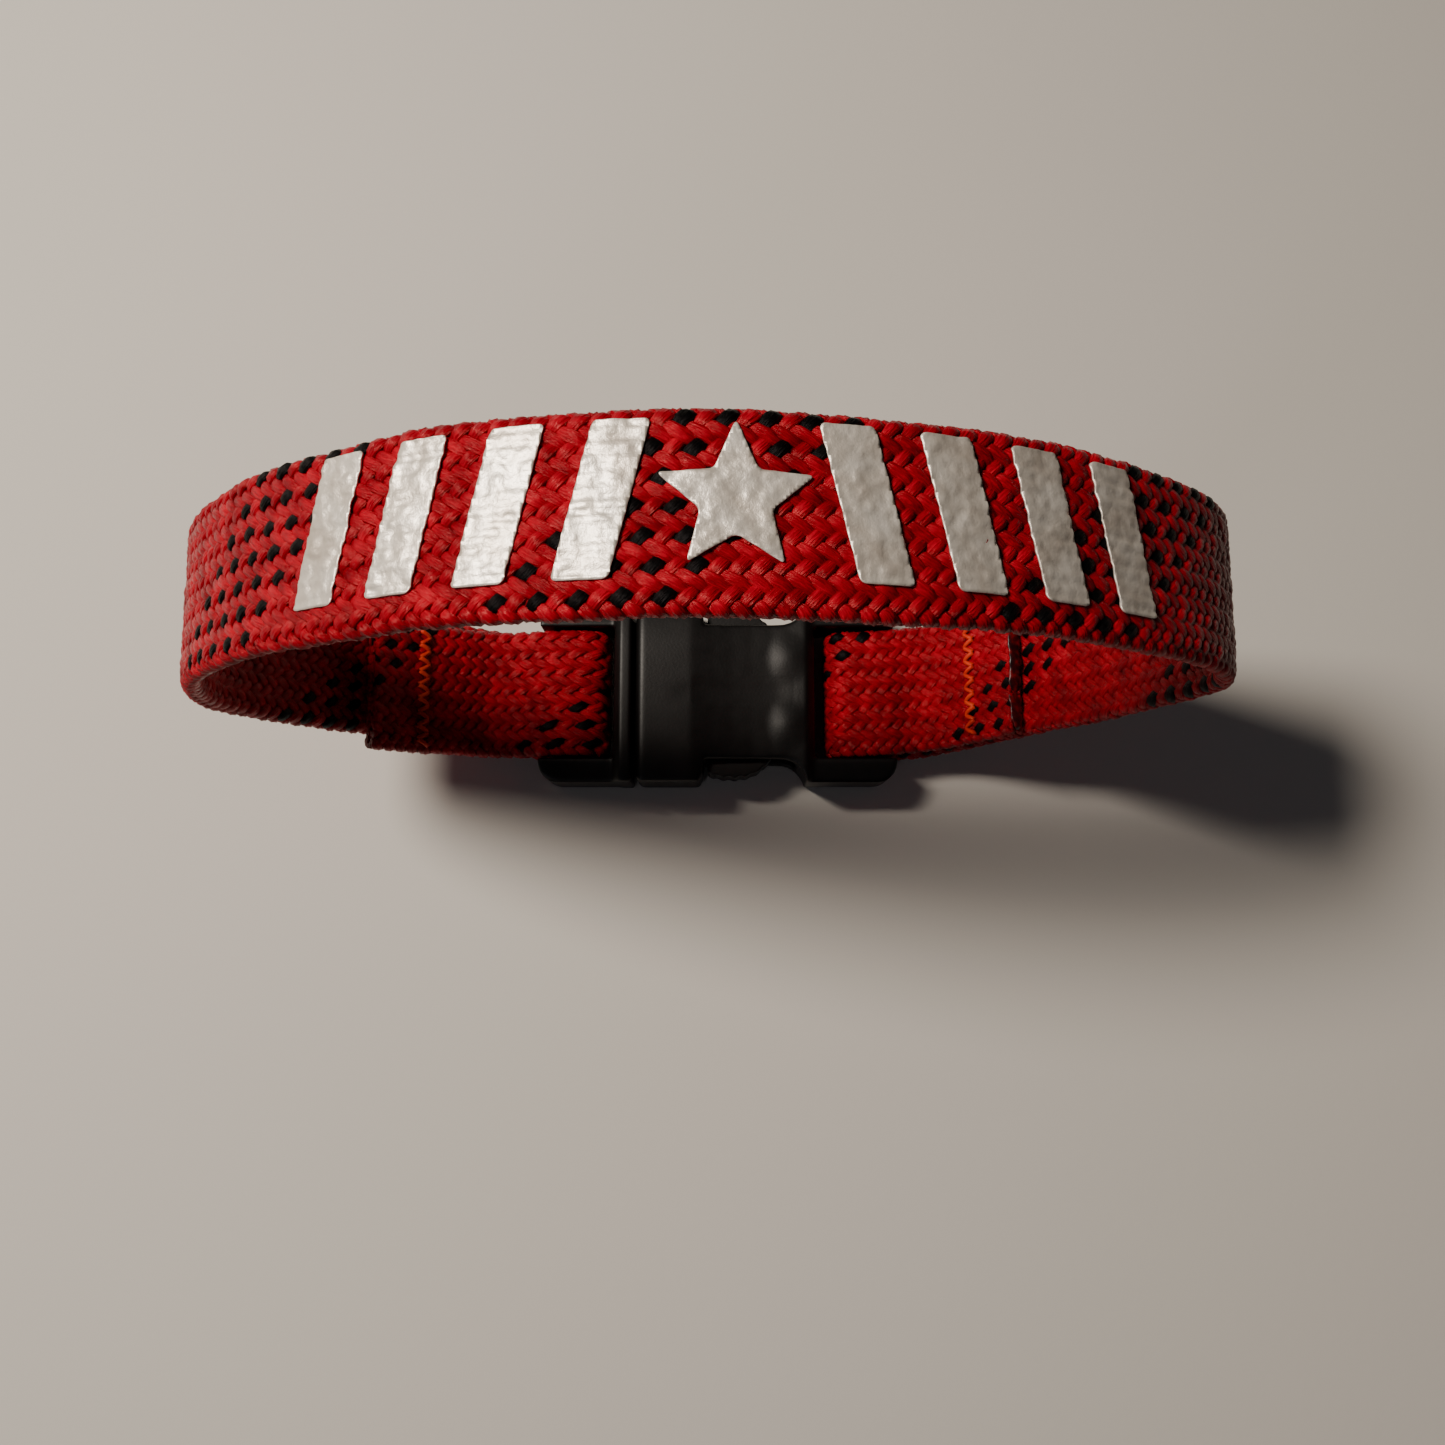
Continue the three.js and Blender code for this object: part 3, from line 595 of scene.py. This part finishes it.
melted_material = new_material("melted_polyester")
coords = add_node(melted_material, "ShaderNodeTexCoord")
lumps = add_node(melted_material, "ShaderNodeTexNoise",
                 {"Vector": coords.outputs["Object"], "Scale": 1500.0})
ramp = add_node(melted_material, "ShaderNodeValToRGB", {"Fac": lumps.outputs["Fac"]},
                steps=[(0.35, "#140305"), (0.5, "#330509"), (0.65, "#74090F")])
bump = add_node(melted_material, "ShaderNodeBump",
                {"Height": lumps.outputs["Fac"], "Strength": 0.7, "Distance": 0.0001})
shader = add_node(melted_material, "ShaderNodeBsdfPrincipled", {
    "Base Color": ramp.outputs["Color"], "Roughness": 0.35, "IOR": 1.57,
    "Normal": bump.outputs[0]})
add_node(melted_material, "ShaderNodeOutputMaterial", {"Surface": shader.outputs[0]})
melted = tube_mesh("melted_lace_end", 1, MELT_STEPS, MELT_SIDES, melted_place)
finish_piece("melted_lace_end", melted, melted_material, "band", [])

# ---------------------------------------------------------------- silver film shapes
# Heat-transfer foil pressed onto the outside of the loop: one star between two rows of leaning
# bars. The film is thin and soft when hot, so it takes the print of the braid under it.

FILM_THICKNESS = 0.10
FILM_HEIGHT = 7.7
FILM_OFFSET = 0.45  # the row lies a little behind the lace's middle
FILM_PITCH = 5.0
FILM_CORNER = 0.28
CORNER_SEGMENTS = 4
STAR_ROOM = 1.2
STAR_WAIST = 0.45
BAR_WIDTH = 2.7
BAR_LEAN = 1.9
BARS_EACH_SIDE = 4
FILM_CELL = 0.17
FILM_MIDDLE = BAND_START + band_run[np.argmax(band_line[:, 1])] + 1.1  # just right of the top
YARN_REACH = 0.6  # half a yarn's width, in yarn spacings
BRAID_MEAN = 0.27
FILM_LIFT = 0.345  # over the tube's face, at the braid's mean height
FILM_PRINT = 0.80  # how much of the braid's height shows through
FILM_BRIDGE = 0.16  # how far round each point the height is averaged
CRINKLE_RATE = 1.1  # noise cells in a millimetre
CRINKLE_HEIGHT = 0.08
FINE_RATE = 3.0
FINE_HEIGHT = 0.06
FINE_SEED = 5


def braid_height(t, c):
    """Height of the braid's surface over the tube's face."""
    m = pattern_rows(t - skew(c))
    best = np.full(t.shape, -1.0)
    for direction in (1, -1):
        place = YARNS * c / TUBE_GIRTH - direction * m
        index = np.rint(place)
        off = np.clip(np.abs(place - index) / YARN_REACH, 0, 1)
        crown = YARN_HALF_HEIGHT * np.sqrt(1 - off ** 2)
        best = np.maximum(best, YARN_LIFT * yarn_height(direction, c) + crown)
    return best


def film_height(t, c):
    """The film bridges the gaps between yarns: the braid's height, averaged round each point."""
    total = 0
    shifts = ((0, 0), (FILM_BRIDGE, 0), (-FILM_BRIDGE, 0), (0, FILM_BRIDGE), (0, -FILM_BRIDGE))
    for dt, dc in shifts:
        total = total + braid_height(t + dt, c + dc)
    return total / len(shifts)


def film_mesh(name, outline, centre):
    """Flat outline with rounded corners, cut into cells, thickened and draped over the braid."""
    bm = bmesh.new()
    bm.faces.new([bm.verts.new((x, y, 0)) for x, y in outline])
    bmesh.ops.bevel(bm, geom=list(bm.verts), offset=FILM_CORNER, offset_type="OFFSET",
                    segments=CORNER_SEGMENTS, profile=0.5, affect="VERTICES", material=-1)
    xs = [v.co.x for v in bm.verts]
    ys = [v.co.y for v in bm.verts]
    for low, high, axis in ((min(xs), max(xs), (1, 0, 0)), (min(ys), max(ys), (0, 1, 0))):
        for cut in np.arange(low + FILM_CELL, high, FILM_CELL):
            bmesh.ops.bisect_plane(bm, geom=bm.verts[:] + bm.edges[:] + bm.faces[:],
                                   plane_co=Vector(axis) * cut, plane_no=axis)
    bmesh.ops.triangulate(bm, faces=[f for f in bm.faces if len(f.verts) > 4])
    bmesh.ops.recalc_face_normals(bm, faces=bm.faces)
    bmesh.ops.solidify(bm, geom=bm.faces[:], thickness=FILM_THICKNESS)
    flat = np.array([v.co for v in bm.verts])
    t = centre + flat[:, 0]
    across = flat[:, 1] + FILM_OFFSET
    crinkle = np.array([noise.noise((x * CRINKLE_RATE, y * CRINKLE_RATE, centre))
                        for x, y, _ in flat])
    fine = np.array([noise.noise((x * FINE_RATE, y * FINE_RATE, centre + FINE_SEED))
                     for x, y, _ in flat])
    lift = (TUBE_RADIUS + FILM_LIFT + FILM_PRINT * (film_height(t, across) - BRAID_MEAN)
            + CRINKLE_HEIGHT * crinkle + FINE_HEIGHT * fine)
    shift = flat[:, 2] - flat[:, 2].min()
    points = lace_place(t, across, lift + shift) * MM
    for vert, point in zip(bm.verts, points):
        vert.co = point
    bmesh.ops.recalc_face_normals(bm, faces=bm.faces)
    mesh = bpy.data.meshes.new(name)
    bm.to_mesh(mesh)
    bm.free()
    return mesh


# Aluminised polyester foil under a clear matt skin: silvery, a little rough, finely crazed.
film_material = new_material("silver_heat_transfer_foil")
coords = add_node(film_material, "ShaderNodeTexCoord")
cloud = add_node(film_material, "ShaderNodeTexNoise",
                 {"Vector": coords.outputs["Object"], "Scale": 520.0, "Detail": 4.0})
crazing = add_node(film_material, "ShaderNodeTexNoise",
                   {"Vector": coords.outputs["Object"], "Scale": 3200.0, "Detail": 3.0, "Roughness": 0.65})
rough = add_node(film_material, "ShaderNodeMapRange",
                 {"Value": crazing.outputs["Fac"], "To Min": 0.34, "To Max": 0.52})
ramp = add_node(film_material, "ShaderNodeValToRGB", {"Fac": cloud.outputs["Fac"]},
                steps=[(0.3, "#D6CABD"), (0.5, "#EAE1D5"), (0.7, "#F7F0E6")])
bump = add_node(film_material, "ShaderNodeBump",
                {"Height": crazing.outputs["Fac"], "Strength": 0.7, "Distance": 0.00005})
shader = add_node(film_material, "ShaderNodeBsdfPrincipled", {
    "Base Color": ramp.outputs["Color"], "Metallic": 0.6, "Roughness": rough.outputs[0],
    "Normal": bump.outputs[0]})
add_node(film_material, "ShaderNodeOutputMaterial", {"Surface": shader.outputs[0]})


def bar_outline(lean):
    """Upright bar whose far end is shifted along the lace by lean."""
    half = FILM_HEIGHT / 2
    w = BAR_WIDTH / 2
    return [(-w - lean / 2, -half), (w - lean / 2, -half),
            (w + lean / 2, half), (-w + lean / 2, half)]


def star_outline():
    """Five points and the five corners between them."""
    outer = FILM_HEIGHT / 2
    points = []
    for i in range(10):
        radius = outer if i % 2 == 0 else outer * STAR_WAIST
        angle = math.pi / 2 + i * math.pi / 5
        points.append((radius * math.cos(angle), radius * math.sin(angle)))
    return points


film_shapes = {"film_star": (star_outline(), FILM_MIDDLE)}
for i in range(1, BARS_EACH_SIDE + 1):
    away = STAR_ROOM + i * FILM_PITCH
    film_shapes[f"film_stripe_left_{i}"] = (bar_outline(BAR_LEAN), FILM_MIDDLE - away)
    film_shapes[f"film_stripe_right_{i}"] = (bar_outline(-BAR_LEAN), FILM_MIDDLE + away)
for name, (outline, centre) in film_shapes.items():
    mesh = film_mesh(name + "_foil", outline, centre)
    finish_piece(name + "_foil", mesh, film_material, arch, [name])

# ---------------------------------------------------------------- buckle
# Socket, plug and its two release arms, moulded in black acetal. Acetal is slippery and
# satin: soft broad highlights, all corners rounded by the mould.

acetal = new_material("black_moulded_acetal")
coords = add_node(acetal, "ShaderNodeTexCoord")
texture = add_node(acetal, "ShaderNodeTexNoise",
                   {"Vector": coords.outputs["Object"], "Scale": 5200.0, "Detail": 3.0})
scuffs = add_node(acetal, "ShaderNodeTexNoise",
                  {"Vector": coords.outputs["Object"], "Scale": 420.0, "Detail": 6.0, "Roughness": 0.7})
dull = add_node(acetal, "ShaderNodeMapRange",
                {"Value": scuffs.outputs["Fac"], "To Min": 0.34, "To Max": 0.52})
ramp = add_node(acetal, "ShaderNodeValToRGB", {"Fac": scuffs.outputs["Fac"]},
                steps=[(0.3, "#060505"), (0.55, "#0A0808"), (0.8, "#120F0F")])
bump = add_node(acetal, "ShaderNodeBump",
                {"Height": texture.outputs["Fac"], "Strength": 0.35, "Distance": 0.00002})
shader = add_node(acetal, "ShaderNodeBsdfPrincipled", {
    "Base Color": ramp.outputs["Color"], "Roughness": dull.outputs[0], "IOR": 1.48,
    "Specular IOR Level": 0.3, "Normal": bump.outputs[0]})
add_node(acetal, "ShaderNodeOutputMaterial", {"Surface": shader.outputs[0]})

SOCKET_TOP = 6.0
NOTCH_START_X = -1.1
NOTCH_END_X = 7.1
# Control points (x, z) of the curve in which the socket's top dips between its two ends.
WAIST = ((NOTCH_END_X, 5.8), (3.0, 5.3), (NOTCH_START_X - 1.0, SOCKET_TOP))
TOP_FACE_Z = 5.0  # points above this belong to the top face
UNDERSIDE_Z = 1.0  # and points below this to the underside
GROOVE_ROOM = ((-4.6, 6.1), 1.1)  # ends in x, half width in y
GROOVE_EASE = ((-4.4, 2.5), (6.0, 1.5))  # where it starts to deepen from each end, and how slowly
GROOVE_DEPTH = 0.05
GROOVE_WIDTH = 0.7
DOME_X = 5.6
DOME_Y = 2.65
DOME_STRETCH = 0.8
DOME_RADIUS = 1.9
DOME_HEIGHT = 0.20
EDGE_START_Y = 3.2
EDGE_RUN = 4.0
EDGE_POWER = 2.2
TOP_FALL = 0.45
UNDERSIDE_RISE = 0.25
ROOT_X = -4.1
ROOT_EASE = 0.45
ROOT_SHIFT = 0.5
RIB_START_Y = 5.6
RIB_EASE = 0.5
RIB_DEPTH = 0.10
RIB_PITCH = 0.9
SOLID_WELD = 1e-6  # metres


def top_of_socket(x):
    """Height of the socket's dished top along its length."""
    u = np.linspace(0, 1, 40)
    xs, zs = ((1 - u) ** 2 * WAIST[0][i] + 2 * (1 - u) * u * WAIST[1][i] + u * u * WAIST[2][i]
              for i in (0, 1))
    return np.interp(x, xs[::-1], zs[::-1])


def edge_fall(y):
    """None in the middle of the buckle's width, growing to 1 at its two long edges."""
    return np.clip((np.abs(y) - EDGE_START_Y) / EDGE_RUN, 0, 1) ** EDGE_POWER


def shape_socket(points):
    """Shallow groove down the middle, two low domes by the slot, and long edges that fall away."""
    x, y, z = points.T
    top = z > TOP_FACE_Z
    (start, end), half = GROOVE_ROOM
    (left, left_run), (right, right_run) = GROOVE_EASE
    groove = top & (np.abs(y) < half) & (x > start) & (x < end)
    fade = smoothstep((x - left) / left_run) * smoothstep((right - x) / right_run)
    z = np.where(groove, top_of_socket(x) - GROOVE_DEPTH * fade * np.exp(-(y / GROOVE_WIDTH) ** 2), z)
    for side in (-DOME_Y, DOME_Y):
        away = np.hypot(x - DOME_X, (y - side) * DOME_STRETCH)
        z = np.where(top, z + DOME_HEIGHT * smoothstep(1 - away / DOME_RADIUS), z)
    z = np.where(top, z - TOP_FALL * edge_fall(y), z)
    z = np.where(z < UNDERSIDE_Z, z + UNDERSIDE_RISE * edge_fall(y), z)
    return np.stack([x, y, z], -1)


def shape_plug(points):
    """The rim's top falls away at both ends, like the socket's."""
    x, y, z = points.T
    z = np.where(z > TOP_FACE_Z, z - TOP_FALL * edge_fall(y), z)
    return np.stack([x, y, z], -1)


def shape_arm(points):
    """Grip ribs across the press pad, and the arm's root carried on into the plug's hub."""
    x, y, z = points.T
    x = x - ROOT_SHIFT * smoothstep((ROOT_X - x) / ROOT_EASE)
    outside = smoothstep((np.abs(y) - RIB_START_Y) / RIB_EASE)
    rib = 0.5 + 0.5 * np.cos(x * 2 * math.pi / RIB_PITCH)
    y = y - np.sign(y) * RIB_DEPTH * outside * rib
    return np.stack([x, y, z], -1)


def moulded(name, node_name, body, grain, rounds, shape):
    """The part's own solid, remade in grains of one size, smoothed a number of times so that
    every corner is rounded, and shaped."""
    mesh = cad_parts[node_name].data.copy()
    bm = bmesh.new()
    bm.from_mesh(mesh)
    bmesh.ops.remove_doubles(bm, verts=bm.verts, dist=SOLID_WELD)
    bm.to_mesh(mesh)
    bm.free()
    blank = bpy.data.objects.new(name + "_blank", mesh)
    bpy.context.scene.collection.objects.link(blank)
    remesh = blank.modifiers.new("skin", "REMESH")
    remesh.mode = "VOXEL"
    remesh.voxel_size = grain * MM
    soften = blank.modifiers.new("soften", "SMOOTH")
    soften.factor = 0.5
    soften.iterations = rounds
    done = bpy.data.meshes.new_from_object(blank.evaluated_get(bpy.context.evaluated_depsgraph_get()))
    done.name = name
    bpy.data.objects.remove(blank)
    points = np.empty(len(done.vertices) * 3)
    done.vertices.foreach_get("co", points)
    points = shape(points.reshape(-1, 3) / MM) * MM
    done.vertices.foreach_set("co", points.ravel())
    finish_piece(name, done, acetal, body, [node_name])


moulded("buckle_socket", "socket", "band", grain=0.14, rounds=12, shape=shape_socket)
moulded("buckle_plug", "plug", "plug", grain=0.13, rounds=10, shape=shape_plug)
moulded("buckle_arm_far", "release_arm_far", "arm_far", grain=0.065, rounds=9, shape=shape_arm)
moulded("buckle_arm_near", "release_arm_near", "arm_near", grain=0.065, rounds=9, shape=shape_arm)
